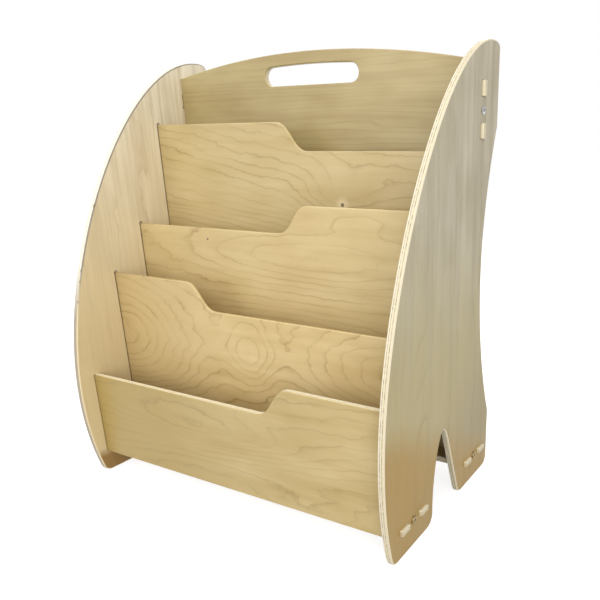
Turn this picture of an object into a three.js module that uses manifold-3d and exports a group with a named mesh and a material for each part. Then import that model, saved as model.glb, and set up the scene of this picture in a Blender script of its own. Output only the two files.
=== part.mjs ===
// Picture book browser bin: two shaped plywood sides carry a back panel with a hand slot, a front panel and
// three stepped dividers, which make four upright pockets, each with its own floor.
// The back panel and two bottom boards lock through the sides with paired tenons, and a connector bolt
// between each pair pulls the joint tight on a barrel nut. Front panel, dividers and pocket floors sit in
// stopped grooves, so the bin comes apart once its bolts are undone.
// Millimetres. X runs across the bin, Y from front to back, Z up, origin at the bottom centre.

import * as THREE from "three";
import { mergeVertices } from "three/addons/utils/BufferGeometryUtils.js";
import Module from "manifold-3d";

const wasm = await Module();
wasm.setup();

// Sheet and fit sizes
const INNER_WIDTH = 676; // clear width between the sides
const PLY = 12; // sides, back, front panel and bottom boards
const THIN_PLY = 6; // dividers and pocket floors
const CLEARANCE = 0.3; // gap on each face of a fitted piece
const GROOVE = 6; // depth of the stopped grooves in the sides
const GROOVE_SLACK = 0.9; // extra width of a row's groove in front of its panel
const EASE = 1.5; // broken edge round every sheet

// Pockets and rows
const POCKET = 70; // clear depth of each pocket, front to back
const FRONT_SETBACK = 33; // front panel's face behind the sides' foremost point
const FRONT_LIP = 157; // front panel's low edge above the front pocket's floor
const FRONT_STEP_RISE = 53.5; // height of the S-shaped step in the front panel's top edge
const ROW_RISE = 141; // each row stands this much higher than the one in front
const STEP_RISE = 51; // height of the S-shaped step in each divider's top edge
const STEP_RUN = 70; // width of that step
const STEP_PLACES = { front_panel: 114, front_divider: -110, middle_divider: 56, rear_divider: 5 };

// Bottom boards
const BOARD_HEIGHT = 43; // underside above the floor
const TENON_SHOULDER = 3; // wood of a board outside each of its tenons
const REAR_BOARD_LEAD = 36; // rear board reaches this far in front of the back panel's face

// Back panel
const HEAD_ROOM = 128; // sides rise this far above the rear divider's high edge
const ARCH_DROP = 1; // crown of the back panel below the top of the sides
const ARCH_RISE = 34; // crown of the arched top edge above its ends
const SLOT_LENGTH = 216;
const SLOT_END_HEIGHT = 34;
const SLOT_CROWN = 2.5; // extra height of the slot in its middle
const SLOT_DROP = 22; // slot's top below the crown of the arch
const BACK_JOINT_DROP = 113; // middle of the back panel's end joint below the top of the sides

// Side outline
const BELLY_HEIGHT = 170; // height of the foremost point
const BELLY_PULL = 292; // how far the front curve stays upright above the belly
const CROWN_PULL = 180; // how far it runs level before the crown
const CROWN_REACH = 24; // depth of the rounded corner behind the crown
const CROWN_FALL = 12; // height of that corner
const TOE_SETBACK = 24;
const TOE_RADIUS = 15;
const HEEL_RADIUS = 22;
const BACK_MARGIN = 23; // heel behind the rear board
const NECK_SETBACK = 7; // back edge above the waist in front of the heel
const WAIST_MARGIN = 10; // wood left behind the back panel at the waist
const WAIST_FOOT = 122; // height at which the waist curve starts
const WAIST_HEAD_DROP = 137; // its upper end below the top of the sides

// Foot notch in each side
const FRONT_FOOT_MARGIN = 25; // wood behind the front board
const REAR_FOOT_MARGIN = 25; // wood in front of the rear board
const FOOT_RADIUS = 26; // rear corner of the front foot
const REAR_TOE_RADIUS = 16;
const NOTCH_MARGIN = 25; // wood between the notch and the middle divider
const NOTCH_SHOULDER = 24; // crown of the notch above its shoulders
const NOTCH_FRONT_LEAN = 21; // front shoulder behind the foot of its flank
const NOTCH_WIDTH = 39; // between the shoulders

// Tenon joints and their hardware
const TENON_LENGTH = 25;
const TENON_PITCH = 67; // between the middles of the two tenons of a joint
const TENON_PROUD = 5; // tenon ends stand out from the side's face
const RELIEF_RADIUS = 2; // overcut at the mortise corners
const BOLT_DIAMETER = 6;
const BOLT_PAST_NUT = 8; // bolt's end past the barrel nut's axis
const HEAD_DIAMETER = 15;
const HEAD_HEIGHT = 2.4;
const HEAD_CHAMFER = 0.8;
const SOCKET_WIDTH = 5; // across the corners of the hexagon socket
const SOCKET_DEPTH = 1.8;
const HEXAGON = 6;
const NUT_DIAMETER = 10;
const NUT_LENGTH = 9.4;
const NUT_INSET = 34; // barrel nut's axis behind the joint's shoulder
const NUT_SLOT_WIDTH = 1.4;
const NUT_SLOT_DEPTH = 1.2;
const BOLT_HOLE_SPARE = 0.5; // bolt hole's radius over the bolt's
const BOLT_END_SPARE = 2; // depth of the hole past the bolt's end

// Facet sizes
const FACET_LENGTH = 22;
const FEWEST_FACETS = 12;
const MOST_FACETS = 36;
const ROUND_SIDES = 20;
const RELIEF_SIDES = 10;

// Places worked out from the sizes: depths run from the sides' foremost point, heights from the floor
const halfWidth = INNER_WIDTH / 2;
const boardTop = BOARD_HEIGHT + PLY;
const boardMiddle = BOARD_HEIGHT + PLY / 2;
const boardDepth = TENON_PITCH + TENON_LENGTH + 2 * TENON_SHOULDER;
const boltLength = PLY + NUT_INSET + BOLT_PAST_NUT;
const frontPanelBack = FRONT_SETBACK + PLY;
const dividerFace = (place) => frontPanelBack + POCKET + place * (THIN_PLY + POCKET);
const dividerBack = (place) => dividerFace(place) + THIN_PLY;
const lastDivider = 2;
const backPanelFace = dividerBack(lastDivider) + POCKET;
const backPanelBack = backPanelFace + PLY;
const frontBoardFront = frontPanelBack + CLEARANCE;
const rearBoardFront = backPanelFace - REAR_BOARD_LEAD;
const boardMiddleDepth = (front) => front + boardDepth / 2;
const floorTop = (row) => boardTop + row * ROW_RISE;
const lowEdge = (row) => boardTop + FRONT_LIP + row * ROW_RISE;
const highEdge = (row) => lowEdge(row) + (row === 0 ? FRONT_STEP_RISE : STEP_RISE);
const sideTop = highEdge(lastDivider + 1) + HEAD_ROOM;
const sideBack = rearBoardFront + boardDepth + BACK_MARGIN;
const backJointHeight = sideTop - BACK_JOINT_DROP;

// Each row's panel: where it stands, how thick it is, which end of its top edge is the high one
const floorUnderside = (row) => floorTop(row) - THIN_PLY;
const divider = (name, place, foot, highOnRight) => {
  return { name, face: dividerFace(place), thickness: THIN_PLY, foot, highOnRight, roundGroove: true };
};
const ROWS = [
  { name: "front_panel", face: FRONT_SETBACK, thickness: PLY, foot: BOARD_HEIGHT, highOnRight: true },
  divider("front_divider", 0, boardTop, false),
  divider("middle_divider", 1, floorUnderside(1), true),
  divider("rear_divider", lastDivider, floorUnderside(2), false),
];
const middleDividerFoot = floorUnderside(1);
const FLOORS = ["second_pocket_floor", "third_pocket_floor", "rear_pocket_floor"];

// Paired-tenon joints in a side: the middle of each, and the direction in which its tenons are spaced
const JOINTS = [
  { name: "front_board", depth: boardMiddleDepth(frontBoardFront), height: boardMiddle, upright: false },
  { name: "rear_board", depth: boardMiddleDepth(rearBoardFront), height: boardMiddle, upright: false },
  { name: "back_panel", depth: backPanelFace + PLY / 2, height: backJointHeight, upright: true },
];

function finish(color, roughness, metalness = 0) {
  return new THREE.MeshStandardMaterial({ color, roughness, metalness, flatShading: true });
}
const SIDE_PLY = finish(0xd2bf98, 0.42);
const PANEL_PLY = finish(0xd4bc82, 0.45);
const BOARD_PLY = finish(0xcdb788, 0.5);
const CHROME = finish(0xd9dbdd, 0.18, 1);
const ZINC = finish(0xa9abad, 0.4, 1);

// Closed solids: three.js geometry in, joined or cut, three.js geometry out
function solidOf(geometry) {
  const bare = geometry.clone();
  bare.deleteAttribute("normal");
  bare.deleteAttribute("uv");
  const merged = mergeVertices(bare);
  const vertProperties = Float32Array.from(merged.attributes.position.array);
  const triVerts = Uint32Array.from(merged.index.array);
  return new wasm.Manifold(new wasm.Mesh({ numProp: 3, vertProperties, triVerts }));
}

function geometryOf(solid) {
  const mesh = solid.getMesh();
  const geometry = new THREE.BufferGeometry();
  geometry.setAttribute("position", new THREE.BufferAttribute(mesh.vertProperties, 3));
  geometry.setIndex(new THREE.BufferAttribute(mesh.triVerts, 1));
  geometry.computeVertexNormals();
  return geometry;
}

function cut(solid, cutters) {
  return cutters.reduce((left, cutter) => left.subtract(cutter), solid);
}

// A box between two corners, and a round bar along Z, Y or X, both as solids
function block(low, high) {
  const size = new THREE.Vector3().subVectors(high, low);
  const box = new THREE.BoxGeometry(size.x, size.y, size.z);
  return solidOf(box.translate(low.x + size.x / 2, low.y + size.y / 2, low.z + size.z / 2));
}

function bar(radius, from, to, sides = ROUND_SIDES) {
  const axis = new THREE.Vector3().subVectors(to, from);
  const cylinder = new THREE.CylinderGeometry(radius, radius, axis.length(), sides);
  const turn = new THREE.Quaternion().setFromUnitVectors(at(0, 1, 0), axis.clone().normalize());
  const middle = new THREE.Vector3().addVectors(from, to).multiplyScalar(0.5);
  return solidOf(cylinder.applyQuaternion(turn).translate(middle.x, middle.y, middle.z));
}

const at = (x, y, z) => new THREE.Vector3(x, y, z);

// Points of a drawn outline, with facets of about equal length on its curves
function faceted(path) {
  return path.curves.flatMap((curve) => {
    const count = Math.round(curve.getLength() / FACET_LENGTH);
    const facets = curve.isLineCurve ? 1 : THREE.MathUtils.clamp(count, FEWEST_FACETS, MOST_FACETS);
    return curve.getPoints(facets).slice(0, -1);
  });
}

// A flat sheet with broken edges, its outline in X and Y and its thickness along Z
function sheet(outline, thickness, holes = []) {
  const ease = Math.min(EASE, thickness / 4);
  const shape = new THREE.Shape(faceted(outline));
  shape.holes = holes.map((hole) => new THREE.Path(faceted(hole)));
  const geometry = new THREE.ExtrudeGeometry(shape, {
    depth: thickness - 2 * ease,
    bevelThickness: ease,
    bevelSize: ease,
    bevelOffset: -ease,
    bevelSegments: 1,
  });
  return solidOf(geometry.translate(0, 0, ease));
}

function rectangle(left, bottom, right, top) {
  const outline = new THREE.Shape();
  outline.moveTo(left, bottom);
  outline.lineTo(right, bottom);
  outline.lineTo(right, top);
  outline.lineTo(left, top);
  outline.closePath();
  return outline;
}

// Side outline: feet, notch, waisted back, rounded crown and one long front curve
function sideOutline() {
  const notchFront = frontBoardFront + boardDepth + FRONT_FOOT_MARGIN;
  const notchRear = rearBoardFront - REAR_FOOT_MARGIN;
  const notchCrown = middleDividerFoot - NOTCH_MARGIN;
  const shoulder = notchCrown - NOTCH_SHOULDER;
  const frontShoulder = notchFront + NOTCH_FRONT_LEAN;
  const rearShoulder = frontShoulder + NOTCH_WIDTH;
  const notchMiddle = (frontShoulder + rearShoulder) / 2;
  const rearFlank = new THREE.Vector2(rearShoulder - notchRear, shoulder).setLength(REAR_TOE_RADIUS);
  const neck = sideBack - NECK_SETBACK;
  const waistPull = 2 * (backPanelBack + WAIST_MARGIN) - (sideBack + neck) / 2;
  const waistHead = sideTop - WAIST_HEAD_DROP;
  const crown = neck - CROWN_REACH;
  const bellyPull = BELLY_HEIGHT / 2;
  const toeFlank = new THREE.Vector2(-TOE_SETBACK, bellyPull).setLength(TOE_RADIUS);
  const outline = new THREE.Shape();
  outline.moveTo(TOE_SETBACK + TOE_RADIUS, 0);
  outline.lineTo(notchFront - FOOT_RADIUS, 0);
  outline.quadraticCurveTo(notchFront, 0, notchFront, FOOT_RADIUS);
  outline.quadraticCurveTo(notchFront, (FOOT_RADIUS + shoulder) / 2, frontShoulder, shoulder);
  outline.quadraticCurveTo(notchMiddle, notchCrown + NOTCH_SHOULDER, rearShoulder, shoulder);
  outline.lineTo(notchRear + rearFlank.x, rearFlank.y);
  outline.quadraticCurveTo(notchRear, 0, notchRear + REAR_TOE_RADIUS, 0);
  outline.lineTo(sideBack - HEEL_RADIUS, 0);
  outline.quadraticCurveTo(sideBack, 0, sideBack, HEEL_RADIUS);
  outline.lineTo(sideBack, WAIST_FOOT);
  outline.quadraticCurveTo(waistPull, (WAIST_FOOT + waistHead) / 2, neck, waistHead);
  outline.lineTo(neck, sideTop - CROWN_FALL);
  outline.quadraticCurveTo(neck, sideTop, crown, sideTop);
  outline.bezierCurveTo(crown - CROWN_PULL, sideTop, 0, BELLY_HEIGHT + BELLY_PULL, 0, BELLY_HEIGHT);
  outline.quadraticCurveTo(0, bellyPull, TOE_SETBACK + toeFlank.x, toeFlank.y);
  outline.quadraticCurveTo(TOE_SETBACK, 0, TOE_SETBACK + TOE_RADIUS, 0);
  return outline;
}

// Mortises of one paired joint with overcut corners, and the bolt hole between them, right through a side
function jointCutters(joint) {
  const halfLength = TENON_LENGTH / 2 + CLEARANCE;
  const halfThickness = PLY / 2 + CLEARANCE;
  const across = joint.upright ? halfThickness : halfLength;
  const up = joint.upright ? halfLength : halfThickness;
  const low = -PLY;
  const high = 2 * PLY;
  const cutters = [];
  for (const end of [-1, 1]) {
    const offset = (end * TENON_PITCH) / 2;
    const x = joint.depth + (joint.upright ? 0 : offset);
    const y = joint.height + (joint.upright ? offset : 0);
    cutters.push(block(at(x - across, y - up, low), at(x + across, y + up, high)));
    for (const [sx, sy] of [[-1, -1], [1, -1], [1, 1], [-1, 1]]) {
      const inset = RELIEF_RADIUS / 2;
      const cornerX = x + sx * (across - inset);
      const cornerY = y + sy * (up - inset);
      cutters.push(bar(RELIEF_RADIUS, at(cornerX, cornerY, low), at(cornerX, cornerY, high), RELIEF_SIDES));
    }
  }
  const holeRadius = BOLT_DIAMETER / 2 + BOLT_HOLE_SPARE;
  cutters.push(bar(holeRadius, at(joint.depth, joint.height, low), at(joint.depth, joint.height, high)));
  return cutters;
}

// A stopped groove for a row's panel, cut by a round cutter, which leaves a round end above a thin panel
function rowGroove(row, top, low, high) {
  const front = row.face - CLEARANCE - GROOVE_SLACK;
  const back = row.face + row.thickness + CLEARANCE;
  const bottom = row.foot - CLEARANCE;
  const groove = [block(at(front, bottom, low), at(back, top + CLEARANCE, high))];
  if (row.roundGroove) {
    const middle = (front + back) / 2;
    const end = top + CLEARANCE;
    groove.push(bar((back - front) / 2, at(middle, end, low), at(middle, end, high)));
  }
  return groove;
}

// A side, drawn flat: the grooves are in its inner face, the upper one on the left and the lower on the right
function sideSolid(onRight) {
  const low = onRight ? -PLY : PLY - GROOVE;
  const high = onRight ? GROOVE : 2 * PLY;
  const cutters = JOINTS.flatMap(jointCutters);
  ROWS.forEach((row, index) => {
    const top = row.highOnRight === onRight ? highEdge(index) : lowEdge(index);
    cutters.push(...rowGroove(row, top, low, high));
  });
  FLOORS.forEach((name, index) => {
    const front = dividerBack(index);
    const bottom = floorUnderside(index + 1) - CLEARANCE;
    cutters.push(block(at(front, bottom, low), at(front + POCKET, floorTop(index + 1) + CLEARANCE, high)));
  });
  return cut(sheet(sideOutline(), PLY), cutters);
}

// A row's panel, drawn flat with X across and Y up: its top edge drops by one S-shaped step
function rowSolid(row, index) {
  const reach = halfWidth + GROOVE - CLEARANCE;
  const foot = row.foot + CLEARANCE;
  const middle = STEP_PLACES[row.name];
  const rightTop = row.highOnRight ? highEdge(index) : lowEdge(index);
  const leftTop = row.highOnRight ? lowEdge(index) : highEdge(index);
  const outline = new THREE.Shape();
  outline.moveTo(-reach, foot);
  outline.lineTo(reach, foot);
  outline.lineTo(reach, rightTop);
  outline.lineTo(middle + STEP_RUN / 2, rightTop);
  outline.bezierCurveTo(middle, rightTop, middle, leftTop, middle - STEP_RUN / 2, leftTop);
  outline.lineTo(-reach, leftTop);
  outline.closePath();
  return sheet(outline, row.thickness);
}

// Adds the two tenons of an end joint to an outline that is drawn with its end along Y
function tenonedEnd(outline, shoulder, end, middle, direction) {
  const half = TENON_LENGTH / 2;
  for (const place of [-1, 1]) {
    const y = middle + (direction * place * TENON_PITCH) / 2;
    outline.lineTo(shoulder, y - direction * half);
    outline.lineTo(end, y - direction * half);
    outline.lineTo(end, y + direction * half);
    outline.lineTo(shoulder, y + direction * half);
  }
}

// Bolt holes in both ends of a tenoned sheet, and the blind holes for the barrel nuts in its lower face
function hardwareCutters(middle) {
  const holeRadius = BOLT_DIAMETER / 2 + BOLT_HOLE_SPARE;
  const holeEnd = halfWidth + PLY - boltLength - BOLT_END_SPARE;
  const nutRadius = NUT_DIAMETER / 2 + CLEARANCE;
  const nutDepth = (PLY + NUT_LENGTH) / 2 + CLEARANCE;
  return [-1, 1].flatMap((end) => {
    const nut = end * (halfWidth - NUT_INSET);
    const inner = at(end * holeEnd, middle, PLY / 2);
    const outer = at(end * 2 * halfWidth, middle, PLY / 2);
    return [bar(holeRadius, inner, outer), bar(nutRadius, at(nut, middle, -PLY), at(nut, middle, nutDepth))];
  });
}

function boardSolid() {
  const shoulder = halfWidth - CLEARANCE;
  const end = halfWidth + PLY + TENON_PROUD;
  const middle = boardDepth / 2;
  const outline = new THREE.Shape();
  outline.moveTo(-shoulder, 0);
  outline.lineTo(shoulder, 0);
  tenonedEnd(outline, shoulder, end, middle, 1);
  outline.lineTo(shoulder, boardDepth);
  outline.lineTo(-shoulder, boardDepth);
  tenonedEnd(outline, -shoulder, -end, middle, -1);
  outline.closePath();
  return cut(sheet(outline, PLY), hardwareCutters(middle));
}

// Hand slot: level lower edge, round ends and a slightly arched upper edge
function slotOutline(top) {
  const radius = SLOT_END_HEIGHT / 2;
  const reach = SLOT_LENGTH / 2 - radius;
  const bottom = top - SLOT_CROWN - SLOT_END_HEIGHT;
  const endTop = bottom + SLOT_END_HEIGHT;
  const slot = new THREE.Path();
  slot.moveTo(-reach, bottom);
  slot.lineTo(reach, bottom);
  slot.absarc(reach, bottom + radius, radius, -Math.PI / 2, Math.PI / 2, false);
  slot.quadraticCurveTo(0, endTop + 2 * SLOT_CROWN, -reach, endTop);
  slot.absarc(-reach, bottom + radius, radius, Math.PI / 2, (3 * Math.PI) / 2, false);
  return slot;
}

// Back panel, drawn flat with X across and Y up: arched top, hand slot and an end joint on each side
function backSolid() {
  const shoulder = halfWidth - CLEARANCE;
  const end = halfWidth + PLY + TENON_PROUD;
  const crown = sideTop - ARCH_DROP;
  const endTop = crown - ARCH_RISE;
  const foot = boardTop + CLEARANCE;
  const outline = new THREE.Shape();
  outline.moveTo(-shoulder, foot);
  outline.lineTo(shoulder, foot);
  tenonedEnd(outline, shoulder, end, backJointHeight, 1);
  outline.lineTo(shoulder, endTop);
  outline.quadraticCurveTo(0, crown + ARCH_RISE, -shoulder, endTop);
  tenonedEnd(outline, -shoulder, -end, backJointHeight, -1);
  outline.closePath();
  return cut(sheet(outline, PLY, [slotOutline(crown - SLOT_DROP)]), hardwareCutters(backJointHeight));
}

function floorSolid() {
  const reach = halfWidth + GROOVE - CLEARANCE;
  return sheet(rectangle(-reach, CLEARANCE, reach, POCKET - CLEARANCE), THIN_PLY);
}

// Connector bolt along X: its thin head's underside is at the origin and its shank runs inwards
function boltSolid() {
  const shank = BOLT_DIAMETER / 2;
  const head = HEAD_DIAMETER / 2;
  const profile = [
    new THREE.Vector2(0, -boltLength),
    new THREE.Vector2(shank, -boltLength),
    new THREE.Vector2(shank, 0),
    new THREE.Vector2(head, 0),
    new THREE.Vector2(head, HEAD_HEIGHT - HEAD_CHAMFER),
    new THREE.Vector2(head - HEAD_CHAMFER, HEAD_HEIGHT),
    new THREE.Vector2(0, HEAD_HEIGHT),
  ];
  const body = solidOf(new THREE.LatheGeometry(profile, ROUND_SIDES).rotateZ(-Math.PI / 2));
  const socketFloor = HEAD_HEIGHT - SOCKET_DEPTH;
  return body.subtract(bar(SOCKET_WIDTH / 2, at(socketFloor, 0, 0), at(2 * HEAD_HEIGHT, 0, 0), HEXAGON));
}

// Barrel nut along Z: crossed by the bolt's hole, with a slot in its open end to turn it by
function nutSolid() {
  const half = NUT_LENGTH / 2;
  const radius = NUT_DIAMETER / 2;
  const body = bar(radius, at(0, 0, -half), at(0, 0, half));
  const hole = bar(BOLT_DIAMETER / 2 + CLEARANCE, at(-NUT_DIAMETER, 0, 0), at(NUT_DIAMETER, 0, 0));
  const slotSide = NUT_SLOT_WIDTH / 2;
  const slotFloor = NUT_SLOT_DEPTH - half;
  const slot = block(at(-NUT_DIAMETER, -slotSide, -NUT_LENGTH), at(NUT_DIAMETER, slotSide, slotFloor));
  return cut(body, [hole, slot]);
}

function piece(name, solid, material) {
  const mesh = new THREE.Mesh(geometryOf(solid), material.clone());
  mesh.name = name;
  return mesh;
}

// Assembly, in depths from the sides' foremost point until the whole is centred at the end
const frame = new THREE.Group();

for (const [name, onRight] of [["left_side_panel", false], ["right_side_panel", true]]) {
  const side = piece(name, sideSolid(onRight), SIDE_PLY);
  side.rotation.set(Math.PI / 2, 0, Math.PI / 2, "ZYX");
  side.position.x = onRight ? halfWidth : -halfWidth - PLY;
  frame.add(side);
}

ROWS.forEach((row, index) => {
  const panel = piece(row.name, rowSolid(row, index), PANEL_PLY);
  panel.rotation.x = Math.PI / 2;
  panel.position.y = row.face + row.thickness;
  frame.add(panel);
});

FLOORS.forEach((name, index) => {
  const floor = piece(name, floorSolid(), BOARD_PLY);
  floor.position.set(0, dividerBack(index), floorUnderside(index + 1));
  frame.add(floor);
});

const back = piece("back_panel", backSolid(), PANEL_PLY);
back.rotation.x = Math.PI / 2;
back.position.y = backPanelBack;
frame.add(back);

const BOARDS = [["front_bottom_board", frontBoardFront], ["rear_bottom_board", rearBoardFront]];
for (const [name, front] of BOARDS) {
  const board = piece(name, boardSolid(), BOARD_PLY);
  board.position.set(0, front, BOARD_HEIGHT);
  frame.add(board);
}

// Each end of each joint has a bolt, and a barrel nut open downwards or, in the back panel, to the rear
for (const joint of JOINTS) {
  for (const [side, outward] of [["left", -1], ["right", 1]]) {
    const hardware = new THREE.Group();
    hardware.position.set(outward * halfWidth, joint.depth, joint.height);
    hardware.rotation.z = outward > 0 ? 0 : Math.PI;
    const bolt = piece(`${side}_${joint.name}_bolt`, boltSolid(), CHROME);
    bolt.position.x = PLY + CLEARANCE;
    const nut = piece(`${side}_${joint.name}_barrel_nut`, nutSolid(), ZINC);
    nut.position.x = -NUT_INSET;
    nut.rotation.x = joint.upright ? (outward * Math.PI) / 2 : 0;
    hardware.add(bolt, nut);
    frame.add(hardware);
  }
}

frame.position.y = -sideBack / 2;
const bin = new THREE.Group();
bin.add(frame);

export default bin;
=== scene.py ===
"""Picture book browser bin: lacquered plywood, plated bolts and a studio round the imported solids.

Lengths are metres unless a name ends in _mm. X runs across the bin, Y from front to back, Z up.
"""

import logging
import math
from dataclasses import dataclass, field
from enum import Enum, IntEnum
from typing import Any

import bmesh
import bpy
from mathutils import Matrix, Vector


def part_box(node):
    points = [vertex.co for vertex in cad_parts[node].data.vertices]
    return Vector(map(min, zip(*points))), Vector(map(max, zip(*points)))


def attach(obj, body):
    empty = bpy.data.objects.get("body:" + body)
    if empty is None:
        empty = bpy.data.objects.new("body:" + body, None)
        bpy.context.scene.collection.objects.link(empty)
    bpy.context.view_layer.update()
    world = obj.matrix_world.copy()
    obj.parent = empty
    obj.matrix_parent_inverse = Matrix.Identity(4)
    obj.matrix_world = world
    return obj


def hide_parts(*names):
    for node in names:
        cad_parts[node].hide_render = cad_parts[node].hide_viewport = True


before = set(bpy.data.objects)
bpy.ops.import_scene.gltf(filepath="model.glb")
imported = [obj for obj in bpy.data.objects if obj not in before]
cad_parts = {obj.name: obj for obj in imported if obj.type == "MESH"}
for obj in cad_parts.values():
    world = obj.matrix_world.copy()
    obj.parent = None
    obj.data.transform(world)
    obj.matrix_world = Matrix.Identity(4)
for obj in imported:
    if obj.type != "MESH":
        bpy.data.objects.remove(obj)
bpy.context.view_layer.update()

LOG = logging.getLogger("browser_bin")
BODY = "root"
MM = 0.001
METRE_IN_MM = 1000.0
IMAGE_SIDE_PX = 600.0
SENSOR_MM = 36.0
LACQUER_IOR = 1.5
# Nearly all values of a noise lie between these two
NOISE_SPAN = (0.3, 0.7)
# The two ends of a MapRange node's ranges
FROM = ("From Min", "From Max")
TO = ("To Min", "To Max")
# Distance of the sides' inner and outer faces from the middle of the bin
INNER_FACE, OUTER_FACE = (corner.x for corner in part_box("right_side_panel"))

Tree = bpy.types.NodeTree
# What feeds a node's input: an output socket, or a node by its first output in use
Feed = bpy.types.NodeSocket | bpy.types.Node
Colour = tuple[float, float, float, float]
Place = tuple[float, float, float]


def linear(hex_colour: str) -> Colour:
    """Turns an sRGB hex colour into linear values with alpha, by the sRGB curve.

    Args:
        hex_colour: Colour as "#rrggbb".

    Returns:
        Linear red, green, blue and an alpha of 1.
    """
    shares = [int(hex_colour[i:i + 2], 16) / 255 for i in (1, 3, 5)]
    red, green, blue = [
        s / 12.92 if s <= 0.04045 else ((s + 0.055) / 1.055) ** 2.4 for s in shares
    ]
    return red, green, blue, 1.0


def grey(value: float) -> Colour:
    """Returns a grey of one linear value."""
    return value, value, value, 1.0


def add(
    tree: Tree,
    kind: str,
    inputs: dict[Any, Any] | None = None,
    stops: list[tuple[float, Colour]] | None = None,
    **settings: Any,
) -> bpy.types.Node:
    """Adds one shader node with its settings, values and links.

    Args:
        tree: Node tree of the material or world.
        kind: Node type without its "ShaderNode" prefix.
        inputs: Socket name or number to a value or to what feeds it, or a tuple of names to a
            sequence of these.
        stops: Place and colour of each stop, for a node that has a colour ramp.
        **settings: Properties of the node.

    Returns:
        The new node.
    """
    node = tree.nodes.new("ShaderNode" + kind)
    for name, value in settings.items():
        setattr(node, name, value)
    for names, values in (inputs or {}).items():
        pairs = zip(names, values) if isinstance(names, tuple) else [(names, values)]
        for name, value in pairs:
            socket = node.inputs[name]
            if isinstance(value, bpy.types.Node):
                value = next(output for output in value.outputs if output.enabled)
            if isinstance(value, bpy.types.NodeSocket):
                tree.links.new(value, socket)
            else:
                socket.default_value = value
    if stops:
        elements = node.color_ramp.elements
        while len(elements) < len(stops):
            elements.new(1.0)
        for element, (place, colour) in zip(elements, stops):
            element.position = place
            element.color = colour
    return node


def bare_material(name: str) -> tuple[bpy.types.Material, Tree]:
    """Makes a material that has no nodes yet.

    Args:
        name: Material name.

    Returns:
        The material and its node tree.
    """
    made = bpy.data.materials.new(name)
    made.use_nodes = True
    made.node_tree.nodes.clear()
    return made, made.node_tree


def fit_piece(shape: bmesh.types.BMesh, name: str, node: str) -> bpy.types.Object:
    """Turns a finished shape into a piece that rides the bin and stands for one solid.

    Args:
        shape: The shape, which is freed.
        name: Name of the piece.
        node: The solid that it stands for.

    Returns:
        The new object.
    """
    mesh = bpy.data.meshes.new(name)
    shape.to_mesh(mesh)
    shape.free()
    piece = bpy.data.objects.new(name, mesh)
    bpy.context.scene.collection.objects.link(piece)
    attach(piece, BODY)
    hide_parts(node)
    return piece


class Lay(Enum):
    """How a sheet lies: the axes along its grain, across it and through its thickness."""

    SIDE_WALL = (2, 1, 0)
    UPRIGHT = (0, 2, 1)
    LEVEL = (0, 1, 2)

    @property
    def along(self) -> int:
        """Axis that the face veneer's grain follows."""
        return self.value[0]

    @property
    def across(self) -> int:
        """Axis across the grain, in the face."""
        return self.value[1]

    @property
    def through(self) -> int:
        """Axis of the sheet's thickness."""
        return self.value[2]


class Finish(IntEnum):
    """Finish of a sheet's facet, by its place in the sheet's list of materials."""

    VENEER = 0
    EDGE = 1
    TENON = 2


@dataclass(frozen=True)
class Patches:
    """Soft patches of a noise in the wood, of one size along the grain and another across it.

    Attributes:
        layer: Keeps these patches apart from the others.
        along_mm: Length of a patch.
        across_mm: Width of a patch.
        detail: Octaves of finer patches.
    """

    layer: float
    along_mm: float
    across_mm: float
    detail: float = 2.0


@dataclass(frozen=True)
class Swirl:
    """A hump of growth rings that the peeling knife cut through, which shows as closed loops.

    Attributes:
        along_mm: Centre along the grain.
        across_mm: Centre across the grain.
        half_along_mm: Reach of the loops along the grain.
        half_across_mm: Reach of the loops across the grain.
        rings: Growth rings from the rim of the hump to its middle.
    """

    along_mm: float
    across_mm: float
    half_along_mm: float
    half_across_mm: float
    rings: float


@dataclass(frozen=True)
class PinKnot:
    """A small round knot: a dark core in a pale halo.

    Attributes:
        along_mm: Centre along the grain.
        across_mm: Centre across the grain.
        core_mm: Radius of the dark core.
        halo_mm: Radius of the pale wood round it.
    """

    along_mm: float
    across_mm: float
    core_mm: float
    halo_mm: float


@dataclass(frozen=True)
class Toning:
    """A slow change of the wood's colour along the grain. Several are painted shade and painted
    sheen, as noted where they are used.

    Attributes:
        colour: Colour where the change is complete.
        start_mm: Where along the grain it starts.
        end_mm: Where it is complete.
        lean: Millimetres along the grain that a millimetre across it counts for.
        wander_mm: How far the streaks carry the change up and down the grain.
    """

    colour: str
    start_mm: float
    end_mm: float
    lean: float = 0.0
    wander_mm: float = 160.0


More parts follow.
